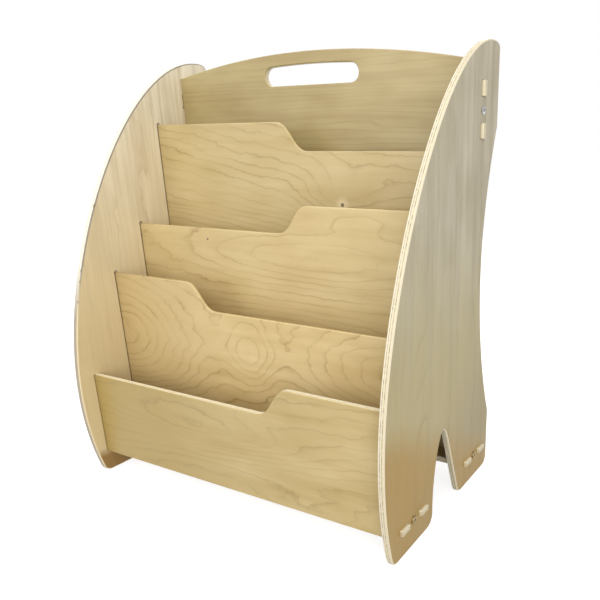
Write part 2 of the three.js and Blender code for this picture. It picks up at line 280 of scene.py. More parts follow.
@dataclass(frozen=True)
class RotaryVeneer:
    """Rotary-peeled birch or maple face veneer under satin lacquer.

    Peeling cuts the growth rings at a flat angle, so the eye sees wide contour loops and long
    wavy lines, each with one crisp side, over a pale ground with fine fibres. The lacquer gives
    a broad soft sheen.

    Attributes:
        name: Material name.
        pale: Earlywood colour.
        tan: Colour of the darker streaks.
        ring: Latewood colour of the growth lines.
        ring_mm: Distance between growth lines away from any swirl.
        ring_strength: How far a line goes to the latewood colour.
        wander_rings: How many rings the lines wander by.
        wander_mm: Length of that wander along and across the grain.
        seed: Picks another part of the log.
        tilt: Slope of the lines against the grain axis.
        kink_rings: How many rings the lines jump by at their kinks.
        swirls: Loop figures.
        knots: Pin knots.
        toning: Changes of colour along the grain.
        streak_mm: Length and width of the darker streaks.
        streak_dark: How much darker than the light streaks they stay where the wood is toned.
        shade_seam_mm: Where along the grain the sheet meets the sides, whose corners get painted
            shade, or 0 for none.
        roughness: Middle roughness of the lacquer.
        lacquer: Thickness of the lacquer film, from 0 for a wiped coat to 1 for a full one.
    """

    name: str
    pale: str
    tan: str
    ring: str
    ring_mm: float
    ring_strength: float
    wander_rings: float
    wander_mm: tuple[float, float]
    seed: float
    tilt: float = 0.0
    kink_rings: float = 0.2
    swirls: tuple[Swirl, ...] = ()
    knots: tuple[PinKnot, ...] = ()
    toning: tuple[Toning, ...] = ()
    streak_mm: tuple[float, float] = (320.0, 20.0)
    streak_dark: float = 0.0
    shade_seam_mm: float = 0.0
    roughness: float = 0.42
    lacquer: float = 1.0

    # Patches and fibres of the wood
    WANDER_LAYER = 0.0
    WANDER_DETAIL = 1.5
    STREAK_LAYER = 9.0
    KINK = Patches(3.0, 34.0, 18.0)
    MOTTLE = Patches(5.0, 110.0, 52.0)
    FADE = Patches(7.0, 150.0, 34.0, 1.0)
    # Real fibres are about 0.03 mm wide, too fine to show, so they are drawn as coarse streaks
    FIBRE = Patches(11.0, 42.0, 1.6)
    LAYERS_PER_METRE = 90.0
    # Strength of a growth line through one ring, up to its crisp side and just past it
    LINE_STOPS = ((0.0, 0.4), (0.05, 0.05), (0.45, 0.0), (0.78, 0.12), (0.92, 0.55), (0.975, 1.0))
    # Part of a ring, before its number changes, in which its line starts
    LINE_START = 0.3
    FAINTEST_YEAR = 0.4
    # Values of the fade's patches between which a line grows to its full strength
    FADE_SPAN = (0.34, 0.62)
    FADED_LINE = 0.35
    # Sums of streak and mottle between which pale wood turns tan
    TAN_SPAN = (0.7, 1.3)
    FIBRE_SPAN = (0.36, 0.64)
    FIBRE_DARK = 0.97
    FIBRE_BUMP = 0.35
    FIBRE_BUMP_MM = 0.05
    CORE_COLOUR = "#3f2c14"
    CORE_SHARE = 0.85
    HALO_COLOUR = "#ead9ae"
    HALO_SHARE = 0.6
    # Painted shade in the corners where the sheet meets the sides
    SEAM_SHADE_COLOUR = "#6a552e"
    SEAM_SHADE_SHARE = 0.7
    # Distances from the side between which the painted shade in its corner grows to its full share
    SEAM_SHADE_INSET_MM = (2.8, 0.9)
    # How far the roughness departs from its middle in the lacquer's smooth and dull patches
    SHEEN_CHANGE = (-0.05, 0.06)
    WIPED_SPECULAR = 0.15
    FILM_SPECULAR = 0.35
    FILM_COAT = 0.18
    COAT_ROUGHNESS = 0.3

    def material(self, lay: Lay) -> bpy.types.Material:
        """Makes the material for a sheet that lies one way.

        Args:
            lay: Which axes run along, across and through the sheet.

        Returns:
            The node material.
        """
        made, tree = bare_material(self.name)
        place = self._place(tree, lay)
        lines = self._growth_lines(tree, place)
        mottle = self._noise(tree, place, self.MOTTLE)
        fibre = self._noise(tree, place, self.FIBRE)
        colour = self._colour(tree, place, lines, mottle, fibre)
        for knot in self.knots:
            colour = self._knotted(tree, place, colour, knot)
        # Painted shade in the corners where the sheet meets the sides
        if self.shade_seam_mm:
            colour = self._seam_shaded(tree, place, colour)
        sheen = add(tree, "MapRange", {
            "Value": mottle, FROM: NOISE_SPAN,
            TO: [self.roughness + change for change in self.SHEEN_CHANGE],
        })
        bump = add(tree, "Bump", {
            "Strength": self.FIBRE_BUMP, "Distance": self.FIBRE_BUMP_MM * MM, "Height": fibre,
        })
        shader = add(tree, "BsdfPrincipled", {
            "Base Color": colour, "Roughness": sheen, "IOR": LACQUER_IOR,
            "Specular IOR Level": self.WIPED_SPECULAR + self.FILM_SPECULAR * self.lacquer,
            "Coat Weight": self.FILM_COAT * self.lacquer, "Coat Roughness": self.COAT_ROUGHNESS,
            "Normal": bump,
        })
        add(tree, "OutputMaterial", {"Surface": shader})
        return made

    def _place(self, tree: Tree, lay: Lay) -> Feed:
        """Gives the place on the veneer in millimetres, with a layer of noise for its depth.

        Args:
            tree: The material's nodes.
            lay: Which axes run along, across and through the sheet.

        Returns:
            A vector.
        """
        where = add(tree, "TexCoord").outputs["Object"]
        axes = add(tree, "SeparateXYZ", {0: where}).outputs
        turned = add(tree, "CombineXYZ", {
            0: axes[lay.along], 1: axes[lay.across], 2: axes[lay.through],
        })
        scaled = add(tree, "VectorMath", {
            0: turned, 1: (METRE_IN_MM, METRE_IN_MM, self.LAYERS_PER_METRE),
        }, operation="MULTIPLY")
        return add(tree, "VectorMath", {0: scaled, 1: (0.0, 0.0, self.seed)}, operation="ADD")

    def _noise(self, tree: Tree, place: Feed, patches: Patches) -> Feed:
        """Gives a noise with patches of one kind.

        Args:
            tree: The material's nodes.
            place: Place on the veneer in millimetres.
            patches: Their layer, size and detail.

        Returns:
            A value from 0 to 1.
        """
        layer = (0.0, 0.0, patches.layer)
        size = (1 / patches.along_mm, 1 / patches.across_mm, 1.0)
        moved = add(tree, "VectorMath", {0: place, 1: layer}, operation="ADD")
        scaled = add(tree, "VectorMath", {0: moved, 1: size}, operation="MULTIPLY")
        return add(tree, "TexNoise", {"Vector": scaled, "Scale": 1.0, "Detail": patches.detail})

    def _growth_lines(self, tree: Tree, place: Feed) -> Feed:
        """Draws the growth lines as levels of a field of ring numbers.

        Args:
            tree: The material's nodes.
            place: Place on the veneer in millimetres.

        Returns:
            A value, up to 1 on a line's crisp side and 0 between lines.
        """
        slope = (-self.tilt / self.ring_mm, 1 / self.ring_mm, 0.0)
        rings = add(tree, "VectorMath", {0: place, 1: slope}, operation="DOT_PRODUCT")
        wander = Patches(self.WANDER_LAYER, *self.wander_mm, self.WANDER_DETAIL)
        for patches, reach in ((wander, self.wander_rings), (self.KINK, self.kink_rings)):
            # A noise goes half its strength each way
            wave = self._noise(tree, place, patches)
            rings = add(tree, "Math", {0: wave, 1: 2 * reach, 2: rings}, operation="MULTIPLY_ADD")
        for swirl in self.swirls:
            rings = self._swirled(tree, place, rings, swirl)
        shifted = add(tree, "Math", {0: rings, 1: self.LINE_START}, operation="ADD")
        number = add(tree, "Math", {0: shifted}, operation="FLOOR")
        year = add(tree, "TexWhiteNoise", {"W": number}, noise_dimensions="1D")
        own = add(tree, "MapRange", {"Value": year, TO: (self.FAINTEST_YEAR, 1.0)})
        turn = add(tree, "Math", {0: rings}, operation="FRACT")
        line = add(tree, "ValToRGB", {0: turn}, [(at, grey(tone)) for at, tone in self.LINE_STOPS])
        fade = self._noise(tree, place, self.FADE)
        kept = add(tree, "MapRange", {
            "Value": fade, FROM: self.FADE_SPAN, TO: (self.FADED_LINE, 1.0),
        })
        for share in (own, kept):
            line = add(tree, "Math", {0: line, 1: share}, operation="MULTIPLY")
        return line

    def _swirled(self, tree: Tree, place: Feed, rings: Feed, swirl: Swirl) -> Feed:
        """Adds one hump to the field of ring numbers.

        Args:
            tree: The material's nodes.
            place: Place on the veneer in millimetres.
            rings: Ring numbers so far.
            swirl: The hump.

        Returns:
            Ring numbers with the hump.
        """
        centre = (swirl.along_mm, swirl.across_mm, 0.0)
        size = (1 / swirl.half_along_mm, 1 / swirl.half_across_mm, 0.0)
        offset = add(tree, "VectorMath", {0: place, 1: centre}, operation="SUBTRACT")
        share = add(tree, "VectorMath", {0: offset, 1: size}, operation="MULTIPLY")
        squared = add(tree, "VectorMath", {0: share, 1: share}, operation="DOT_PRODUCT")
        power = add(tree, "Math", {0: squared, 1: -1.0}, operation="MULTIPLY")
        hump = add(tree, "Math", {0: power}, operation="EXPONENT")
        return add(tree, "Math", {0: hump, 1: swirl.rings, 2: rings}, operation="MULTIPLY_ADD")

    def _colour(self, tree: Tree, place: Feed, lines: Feed, mottle: Feed, fibre: Feed) -> Feed:
        """Mixes the wood's colours.

        Args:
            tree: The material's nodes.
            place: Place on the veneer in millimetres.
            lines: Growth lines.
            mottle: Broad light and dark patches.
            fibre: Fine fibres.

        Returns:
            A colour.
        """
        streak = self._noise(tree, place, Patches(self.STREAK_LAYER, *self.streak_mm))
        patch = add(tree, "Math", {0: streak, 1: mottle}, operation="ADD")
        share = add(tree, "MapRange", {"Value": patch, FROM: self.TAN_SPAN})
        ground = add(tree, "Mix", {
            "Factor": share, "A": linear(self.pale), "B": linear(self.tan),
        }, data_type="RGBA")
        for toning in self.toning:
            ground = self._toned(tree, place, ground, streak, toning)
        if self.streak_dark:
            light = add(tree, "MapRange", {
                "Value": streak, FROM: NOISE_SPAN,
                TO: (1 + self.streak_dark / 2, 1 - self.streak_dark / 2),
            })
            ground = add(tree, "Mix", {
                "Factor": 1.0, "A": ground, "B": light,
            }, data_type="RGBA", blend_type="MULTIPLY")
        strength = add(tree, "Math", {0: lines, 1: self.ring_strength}, operation="MULTIPLY")
        lined = add(tree, "Mix", {
            "Factor": strength, "A": ground, "B": linear(self.ring),
        }, data_type="RGBA")
        shade = add(tree, "ValToRGB", {0: fibre}, [
            (self.FIBRE_SPAN[0], grey(self.FIBRE_DARK)), (self.FIBRE_SPAN[1], grey(1.0)),
        ])
        return add(tree, "Mix", {
            "Factor": 1.0, "A": lined, "B": shade,
        }, data_type="RGBA", blend_type="MULTIPLY")

    def _toned(self, tree: Tree, place: Feed, colour: Feed, streak: Feed, toning: Toning) -> Feed:
        """Carries the wood's colour over to another along the grain.

        Args:
            tree: The material's nodes.
            place: Place on the veneer in millimetres.
            colour: Colour so far.
            streak: Streaks that carry the change up and down.
            toning: The change.

        Returns:
            Colour with the change.
        """
        slope = (1.0, toning.lean, 0.0)
        along = add(tree, "VectorMath", {0: place, 1: slope}, operation="DOT_PRODUCT")
        wandered = add(tree, "Math", {
            0: streak, 1: toning.wander_mm, 2: along,
        }, operation="MULTIPLY_ADD")
        share = add(tree, "MapRange", {
            "Value": wandered,
            FROM: [at + toning.wander_mm / 2 for at in (toning.start_mm, toning.end_mm)],
        }, interpolation_type="SMOOTHSTEP")
        return add(tree, "Mix", {
            "Factor": share, "A": colour, "B": linear(toning.colour),
        }, data_type="RGBA")

    def _knotted(self, tree: Tree, place: Feed, colour: Feed, knot: PinKnot) -> Feed:
        """Lays one pin knot over the wood's colour.

        Args:
            tree: The material's nodes.
            place: Place on the veneer in millimetres.
            colour: Colour so far.
            knot: The knot.

        Returns:
            Colour with the knot.
        """
        centre = (knot.along_mm, knot.across_mm, 0.0)
        flat = add(tree, "VectorMath", {0: place, 1: (1.0, 1.0, 0.0)}, operation="MULTIPLY")
        away = add(tree, "VectorMath", {0: flat, 1: centre}, operation="DISTANCE")
        for start, end, tone, most in (
            (0.0, knot.halo_mm, self.HALO_COLOUR, self.HALO_SHARE),
            (knot.core_mm / 2, knot.core_mm, self.CORE_COLOUR, self.CORE_SHARE),
        ):
            share = add(tree, "MapRange", {
                "Value": away, FROM: (start, end), TO: (most, 0.0),
            }, interpolation_type="SMOOTHSTEP")
            colour = add(tree, "Mix", {
                "Factor": share, "A": colour, "B": linear(tone),
            }, data_type="RGBA")
        return colour

    def _seam_shaded(self, tree: Tree, place: Feed, colour: Feed) -> Feed:
        """Paints shade into the corners where the sheet meets the sides.

        Args:
            tree: The material's nodes.
            place: Place on the veneer in millimetres.
            colour: Colour so far.

        Returns:
            Colour with the painted shade in the corners.
        """
        along = add(tree, "SeparateXYZ", {0: place})
        away = add(tree, "Math", {0: along}, operation="ABSOLUTE")
        share = add(tree, "MapRange", {
            "Value": away, FROM: [self.shade_seam_mm - inset for inset in self.SEAM_SHADE_INSET_MM],
            TO: (0.0, self.SEAM_SHADE_SHARE),
        }, interpolation_type="SMOOTHSTEP")
        return add(tree, "Mix", {
            "Factor": share, "A": colour, "B": linear(self.SEAM_SHADE_COLOUR),
        }, data_type="RGBA")


@dataclass(frozen=True)
class PaintedEdgeShade:
    """Painted shade on an edge: a dark line in its corner above, darker plies lower down.

    Attributes:
        painted_shade: Colour of the corner on the sheet's high side above: a painted shadow line.
        cream_corner: Colour of that corner lower down.
        shaded_plies: Colour of the plies lower down: painted shade.
        start_mm: Height at which the change starts.
        end_mm: Height below which it is complete.
    """

    painted_shade: str
    cream_corner: str
    shaded_plies: str
    start_mm: float
    end_mm: float


@dataclass(frozen=True)
class SandedPlyEdge:
    """Sanded and lacquered plywood edge.

    Sanding shows the plies, long grain bright and end grain a little darker, with thin broken
    glue lines, so the eye sees a pale striped band.

    Attributes:
        name: Material name.
        bright: Colour of the long-grain plies.
        dull: Colour of the end-grain plies.
        glue: Colour of the glue lines.
        plies: Plies in the sheet.
        edge_shade: Painted shade on the corner and lower down.
        dents_mm: Places of small dents.
    """

    name: str
    bright: str
    dull: str
    glue: str
    plies: int
    edge_shade: PaintedEdgeShade | None = None
    dents_mm: tuple[Place, ...] = ()

    PORE_MM = 2.2
    PORE_DETAIL = 2.0
    PORE_ROUGHNESS = 0.6
    PORE_BUMP = 0.3
    PORE_BUMP_MM = 0.08
    ROUGHNESS = 0.5
    # How much of a ply the pores shift it by
    PLY_WAVE = 0.16
    # Bright and dull bands are two plies wide, because single ones are too fine to show
    BAND_PLIES = 2.0
    BAND_CHANGE = (0.9, 1.1)
    # Glue lines lie a ply apart, and each fades over this distance from it, in plies
    HALF_PLY = 0.5
    GLUE_FADE = (0.05, 0.24)
    # Glue lines are broken: patches of this size show less or more of them
    BREAK_MM = 6.0
    BREAK_SPAN = (0.36, 0.64)
    GLUE_SHOWN = (0.25, 0.95)
    # Plies from the sheet's faces at which the outermost glue lines end
    FACE_PLIES = (0.5, 0.3)
    # Distances from the high face between which the corner's painted shade starts and is complete
    CORNER_MM = (2.4, 1.6)
    DENT_MM = (1.5, 5.0)
    DENT_SHARE = 0.8
    DENT_COLOUR = "#5c5343"

    def material(self, lay: Lay, low: float, high: float) -> bpy.types.Material:
        """Makes the material for the edges of one sheet.

        Args:
            lay: Which axis runs through the sheet.
            low: Where the sheet's thickness starts on that axis.
            high: Where it ends.

        Returns:
            The node material.
        """
        made, tree = bare_material(self.name)
        where = add(tree, "TexCoord").outputs["Object"]
        axes = add(tree, "SeparateXYZ", {0: where}).outputs
        layer = add(tree, "MapRange", {
            "Value": axes[lay.through], FROM: (low, high), TO: (0.0, float(self.plies)),
        })
        pore = add(tree, "TexNoise", {
            "Vector": where, "Scale": METRE_IN_MM / self.PORE_MM,
            "Detail": self.PORE_DETAIL, "Roughness": self.PORE_ROUGHNESS,
        })
        colour = self._plied(tree, where, layer, pore)
        # Painted shade: a dark line in the high corner higher up, darker plies lower down
        if self.edge_shade:
            near = add(tree, "MapRange", {
                "Value": axes[lay.through], FROM: [high - inset * MM for inset in self.CORNER_MM],
            })
            colour = self._edge_shaded(tree, axes[2], near, colour, self.edge_shade)
        for dent_mm in self.dents_mm:
            colour = self._dented(tree, where, colour, dent_mm)
        bump = add(tree, "Bump", {
            "Strength": self.PORE_BUMP, "Distance": self.PORE_BUMP_MM * MM, "Height": pore,
        })
        shader = add(tree, "BsdfPrincipled", {
            "Base Color": colour, "Roughness": self.ROUGHNESS, "IOR": LACQUER_IOR, "Normal": bump,
        })
        add(tree, "OutputMaterial", {"Surface": shader})
        return made

    def _plied(self, tree: Tree, where: Feed, layer: Feed, pore: Feed) -> Feed:
        """Draws the plies and the broken glue lines between them.

        Args:
            tree: The material's nodes.
            where: Place in the sheet.
            layer: Number of plies below that place.
            pore: Fine pores.

        Returns:
            A colour.
        """
        wavy = add(tree, "Math", {0: pore, 1: self.PLY_WAVE, 2: layer}, operation="MULTIPLY_ADD")
        band = add(tree, "Math", {0: wavy, 1: self.BAND_PLIES}, operation="PINGPONG")
        end_grain = add(tree, "MapRange", {"Value": band, FROM: self.BAND_CHANGE})
        from_line = add(tree, "Math", {0: wavy, 1: self.HALF_PLY}, operation="PINGPONG")
        line = add(tree, "MapRange", {"Value": from_line, FROM: self.GLUE_FADE, TO: (1.0, 0.0)})
        broken = add(tree, "TexNoise", {"Vector": where, "Scale": METRE_IN_MM / self.BREAK_MM})
        shown = add(tree, "MapRange", {
            "Value": broken, FROM: self.BREAK_SPAN, TO: self.GLUE_SHOWN,
        })
        middle = self.plies / 2
        offset = add(tree, "Math", {0: layer, 1: middle}, operation="SUBTRACT")
        from_middle = add(tree, "Math", {0: offset}, operation="ABSOLUTE")
        within = add(tree, "MapRange", {
            "Value": from_middle, FROM: [middle - inset for inset in self.FACE_PLIES],
            TO: (1.0, 0.0),
        })
        for share in (shown, within):
            line = add(tree, "Math", {0: line, 1: share}, operation="MULTIPLY")
        grain = add(tree, "Mix", {
            "Factor": end_grain, "A": linear(self.bright), "B": linear(self.dull),
        }, data_type="RGBA")
        return add(tree, "Mix", {
            "Factor": line, "A": grain, "B": linear(self.glue),
        }, data_type="RGBA")

    def _edge_shaded(self, tree: Tree, height: Feed, near: Feed, colour: Feed, edge_shade: PaintedEdgeShade) -> Feed:
        """Paints shade onto the plies and the corner beside them.

        Args:
            tree: The material's nodes.
            height: Height above the floor.
            near: 1 on the corner and 0 away from it.
            colour: Colour so far.
            edge_shade: The painted shade.

        Returns:
            Colour with the painted shade.
        """
        # Higher up the corner takes a painted shadow line; lower down the plies take painted shade
        # and the corner turns cream
        wear_and_painted_shade = add(tree, "MapRange", {
            "Value": height, FROM: (edge_shade.start_mm * MM, edge_shade.end_mm * MM),
        })
        plies, corner = (
            add(tree, "Mix", {"Factor": wear_and_painted_shade, "A": new, "B": linear(old)}, data_type="RGBA")
            for new, old in ((colour, edge_shade.shaded_plies), (linear(edge_shade.painted_shade), edge_shade.cream_corner))
        )
        return add(tree, "Mix", {"Factor": near, "A": plies, "B": corner}, data_type="RGBA")

    def _dented(self, tree: Tree, where: Feed, colour: Feed, dent_mm: Place) -> Feed:
        """Darkens one small dent.

        Args:
            tree: The material's nodes.
            where: Place in the sheet.
            colour: Colour so far.
            dent_mm: Place of the dent.

        Returns:
            Colour with the dent.
        """
        away = add(tree, "VectorMath", {0: where, 1: Vector(dent_mm) * MM}, operation="DISTANCE")
        dark = add(tree, "MapRange", {
            "Value": away, FROM: [reach * MM for reach in self.DENT_MM], TO: (self.DENT_SHARE, 0.0),
        })
        return add(tree, "Mix", {
            "Factor": dark, "A": colour, "B": linear(self.DENT_COLOUR),
        }, data_type="RGBA")


@dataclass(frozen=True)
class PlatedSteel:
    """Plated steel: bright chrome on rolled bolt heads or dull zinc on turned nuts.

    Plating follows the tool marks under it, so the eye sees a mirror or a soft grey, slightly
    uneven. On the bolts the dark patches are painted reflections; on the nuts they are wear.

    Attributes:
        name: Material name.
        bright: Colour of the clean plating.
        wear_and_painted_shade: Colour of the dull patches: wear on the nuts, painted dark
            reflections on the bolts.
        roughness: Middle roughness.
        mark_mm: Size of the uneven marks, drawn coarser than real so that they show.
    """

    name: str
    bright: str
    wear_and_painted_shade: str
    roughness: float
    mark_mm: float

    MARK_DETAIL = 3.0
    WEAR_AND_SHADE_SPAN = (0.35, 0.62)
    # How far the roughness departs from its middle in the dull patches and in the clean ones
    ROUGHNESS_CHANGE = (0.08, -0.04)

    def material(self) -> bpy.types.Material:
        """Makes the material.

        Returns:
            The node material.
        """
        made, tree = bare_material(self.name)
        where = add(tree, "TexCoord").outputs["Object"]
        mark = add(tree, "TexNoise", {
            "Vector": where, "Scale": METRE_IN_MM / self.mark_mm, "Detail": self.MARK_DETAIL,
        })
        colour = add(tree, "ValToRGB", {0: mark}, [
            (self.WEAR_AND_SHADE_SPAN[0], linear(self.wear_and_painted_shade)), (self.WEAR_AND_SHADE_SPAN[1], linear(self.bright)),
        ])
        rough = add(tree, "MapRange", {
            "Value": mark, FROM: NOISE_SPAN,
            TO: [self.roughness + change for change in self.ROUGHNESS_CHANGE],
        })
        shader = add(tree, "BsdfPrincipled", {
            "Base Color": colour, "Metallic": 1.0, "Roughness": rough,
        })
        add(tree, "OutputMaterial", {"Surface": shader})
        return made


@dataclass
class PlywoodSheet:
    """One cut sheet of plywood with rounded edges.

    Attributes:
        node: The solid that it stands for.
        lay: How the sheet lies.
        slot: Material slot of the record; not used.
        veneer: Finish of its broad faces.
        edge: Finish of its edges.
        ends: Finish of its tenons where they stand out of the sides.
        face_cosine: How squarely a facet must face out to show the veneer.
        round_mm: Softening of each side of the broken edges.
    """

    node: str
    lay: Lay
    slot: str
    veneer: RotaryVeneer
    edge: SandedPlyEdge
    ends: SandedPlyEdge | None = None
    face_cosine: float = 0.98
    round_mm: float = 0.55

    WELD_MM = 0.001
    FLAT_ANGLE = math.radians(0.4)
    BROKEN_EDGE = (math.radians(35), math.radians(55))
    CRISP_ANGLE = math.radians(62)
    ROUND_STEPS = 2
    ROUND_PROFILE = 0.5

    def build(self) -> bpy.types.Object:
        """Makes the sheet from its solid, with large flat faces and softened edges.

        Returns:
            The new object, which rides and replaces its solid.
        """
        shape = bmesh.new()
        shape.from_mesh(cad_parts[self.node].data)
        bmesh.ops.remove_doubles(shape, verts=shape.verts, dist=self.WELD_MM * MM)
        bmesh.ops.dissolve_limit(
            shape, angle_limit=self.FLAT_ANGLE, verts=shape.verts, edges=shape.edges,
            use_dissolve_boundaries=False,
        )
        bmesh.ops.bevel(
            shape, geom=[edge for edge in shape.edges if self._is_broken(edge)],
            offset=self.round_mm * MM, offset_type="OFFSET", segments=self.ROUND_STEPS,
            profile=self.ROUND_PROFILE, affect="EDGES", clamp_overlap=True,
        )
        if self.ends:
            for end in (-OUTER_FACE, OUTER_FACE):
                bmesh.ops.bisect_plane(
                    shape, geom=shape.verts[:] + shape.edges[:] + shape.faces[:],
                    plane_co=(end, 0.0, 0.0), plane_no=(1.0, 0.0, 0.0),
                )
        for edge in shape.edges:
            edge.smooth = len(edge.link_faces) == 2 and edge.calc_face_angle() < self.CRISP_ANGLE
        for face in shape.faces:
            face.smooth = True
            face.material_index = self._finish_of(face)
        sheet = fit_piece(shape, self.node + "_sheet", self.node)
        normals = sheet.modifiers.new("flat_faces", "WEIGHTED_NORMAL")
        normals.keep_sharp = True
        self.dress(sheet)
        LOG.info("sheet %s: %d faces", self.node, len(sheet.data.polygons))
        return sheet

    def dress(self, sheet: bpy.types.Object) -> None:
        """Gives the sheet its finishes, in the order of Finish.

        Args:
            sheet: The sheet's object.
        """
        low, high = (corner[self.lay.through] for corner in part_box(self.node))
        sheet.data.materials.append(self.veneer.material(self.lay))
        for edge in filter(None, (self.edge, self.ends)):
            sheet.data.materials.append(edge.material(self.lay, low, high))

    def _finish_of(self, face: bmesh.types.BMFace) -> Finish:
        """Tells which finish a facet takes.

        Args:
            face: The facet.

        Returns:
            Its finish.
        """
        if self.ends and abs(face.calc_center_median().x) > OUTER_FACE:
            return Finish.TENON
        faces_out = abs(face.normal[self.lay.through]) > self.face_cosine
        return Finish.VENEER if faces_out else Finish.EDGE

    def _is_broken(self, edge: bmesh.types.BMEdge) -> bool:
        """Tells whether an edge is one side of the broken corner round the sheet.

        Args:
            edge: The edge.

        Returns:
            True for an edge in the sheet's plane that turns by about half a right angle.
        """
        run = edge.verts[1].co - edge.verts[0].co
        if len(edge.link_faces) != 2 or abs(run[self.lay.through]) > run.length / 2:
            return False
        return self.BROKEN_EDGE[0] < edge.calc_face_angle() < self.BROKEN_EDGE[1]


THICK_EDGE = SandedPlyEdge("birch_ply_edge_sanded_12mm", "#f2ead0", "#e8dcba", "#c4b28c", 5)
THIN_EDGE = SandedPlyEdge("birch_ply_edge_sanded_6mm", "#dac896", "#cfba84", "#ad9462", 3)
BACK_EDGE = SandedPlyEdge("birch_ply_edge_sanded_olive", "#ece1c2", "#dfd2ae", "#a89468", 5)
TENON_END = SandedPlyEdge("birch_ply_tenon_end_sanded", "#e6dabb", "#dbcdab", "#b5a27c", 5)
RIGHT_EDGE = SandedPlyEdge(
    "birch_ply_edge_sanded_pale", "#e9dfc4", "#dccfb0", "#7a6f56", 3,
    dents_mm=((344.0, -45.0, 672.0),),
)
# Painted shade on this edge: a dark line in the inner corner higher up, greyer plies lower down
# beside a cream corner
LEFT_EDGE = SandedPlyEdge(
    "birch_ply_edge_sanded_painted_shade", "#f4efe0", "#ece5d0", "#d2c7ac", 5,
    edge_shade=PaintedEdgeShade("#8a8071", "#e0cfa8", "#aa9c86", start_mm=430.0, end_mm=330.0),
    dents_mm=(
        (-339.0, -118.0, 535.0), (-339.0, -171.0, 420.0),
        (-339.0, -178.0, 400.0), (-339.0, -189.0, 362.0),
    ),
)

# The sheets between the sides end at the sides' inner faces
SEAM_MM = INNER_FACE / MM
# Cosine of a facet's turn up to which a panel's veneer runs on over its broken corner
OVER_CORNER = 0.5

# Pinkish side veneer, darker towards the bottom. The dark brown toning near the floor is painted
# shade under the front panel.
LEFT_VENEER = RotaryVeneer(
    "birch_veneer_pinkish_upright", "#f7ecd1", "#decfae", "#bda47a",
    ring_mm=34.0, ring_strength=0.4, wander_rings=1.6, wander_mm=(420.0, 60.0), seed=3.0,
    toning=(Toning("#dac699", 720.0, 240.0), Toning("#96702c", 56.0, 30.0, wander_mm=20.0)),
    streak_mm=(240.0, 10.0), streak_dark=0.07,
)
# A greyer, darker copy of the sides' veneer: painted shade and painted sheen; its light streaks are
# partly painted sheen. The tonings let that painted sheen fade towards the floor, leaving it
# browner and darker, most at the front foot.
RIGHT_VENEER = RotaryVeneer(
    "birch_veneer_painted_shade_and_sheen_upright", "#cbc2aa", "#b8ad92", "#927f55",
    ring_mm=40.0, ring_strength=0.4, wander_rings=1.8, wander_mm=(460.0, 66.0), seed=17.0,
    swirls=(Swirl(150.0, -95.0, 170.0, 44.0, 2.6),),
    toning=(
        Toning("#bcae83", 560.0, 260.0),
        Toning("#aa9b73", 260.0, -60.0, lean=-1.0),
        Toning("#b39458", 188.0, 98.0, lean=0.45, wander_mm=60.0),
    ),
    streak_mm=(420.0, 20.0), streak_dark=0.07, roughness=0.36, lacquer=0.0,
)
BACK_VENEER = RotaryVeneer(
    "maple_veneer_straight_olive", "#b6a473", "#a38e5c", "#7d6a3a",
    ring_mm=9.0, ring_strength=0.42, wander_rings=2.2, wander_mm=(420.0, 42.0), seed=31.0,
    shade_seam_mm=SEAM_MM,
)
# Its toning makes it darker towards its left end: painted shade.
FRONT_PANEL_VENEER = RotaryVeneer(
    "maple_veneer_golden_faint_loops", "#c6b07c", "#b49c64", "#8a6f3c",
    ring_mm=20.0, ring_strength=0.5, wander_rings=0.9, wander_mm=(190.0, 40.0), seed=41.0,
    tilt=0.08, kink_rings=0.35,
    swirls=(Swirl(-60.0, 158.0, 200.0, 36.0, 4.2), Swirl(180.0, 50.0, 130.0, 40.0, 2.6)),
    toning=(Toning("#ae9558", 60.0, -200.0),),
)
FRONT_DIVIDER_VENEER = RotaryVeneer(
    "maple_veneer_golden_teardrop", "#d8c08b", "#c8ad75", "#94733a",
    ring_mm=70.0, ring_strength=0.7, wander_rings=1.0, wander_mm=(130.0, 54.0), seed=53.0,
    kink_rings=0.4, shade_seam_mm=SEAM_MM,
    swirls=(
        Swirl(2.0, 282.0, 54.0, 70.0, 4.4),
        Swirl(-350.0, 268.0, 235.0, 125.0, 11.0),
        Swirl(350.0, 284.0, 225.0, 82.0, 8.2),
    ),
    toning=(Toning("#c5ac78", -20.0, -300.0),),
)
MIDDLE_DIVIDER_VENEER = RotaryVeneer(
    "maple_veneer_golden_long_loops", "#d3bd89", "#c5ac77", "#94733a",
    ring_mm=60.0, ring_strength=0.68, wander_rings=0.6, wander_mm=(210.0, 52.0), seed=67.0,
    tilt=-0.03, kink_rings=0.32, shade_seam_mm=SEAM_MM,
    swirls=(
        Swirl(100.0, 449.0, 300.0, 50.0, 4.25),
        Swirl(195.0, 520.0, 60.0, 15.0, 1.6),
        Swirl(40.0, 322.0, 330.0, 34.0, -3.0),
    ),
    knots=(PinKnot(-152.0, 473.0, 2.8, 3.0),),
)
REAR_DIVIDER_VENEER = RotaryVeneer(
    "maple_veneer_golden_round_knot", "#cab584", "#bca570", "#8c6e38",
    ring_mm=20.0, ring_strength=0.7, wander_rings=0.9, wander_mm=(190.0, 56.0), seed=79.0,
    tilt=-0.2, kink_rings=0.4, shade_seam_mm=SEAM_MM,
    swirls=(Swirl(116.0, 548.0, 84.0, 58.0, 2.9), Swirl(-180.0, 470.0, 320.0, 60.0, -3.0)),
    knots=(PinKnot(114.0, 542.0, 4.8, 20.0),),
)
BOARD_VENEER = RotaryVeneer(
    "birch_veneer_plain_level", "#d2be8e", "#c2a974", "#9d8150",
    ring_mm=16.0, ring_strength=0.4, wander_rings=1.4, wander_mm=(300.0, 40.0), seed=97.0,
)


@dataclass
class SheetGroup:
    """Sheets that belong together.

    Attributes:
        sheets: The sheets in the order of building.
    """

    sheets: list[PlywoodSheet]

    def build(self) -> None:
        """Builds and dresses the sheets."""
        for sheet in self.sheets:
            sheet.build()


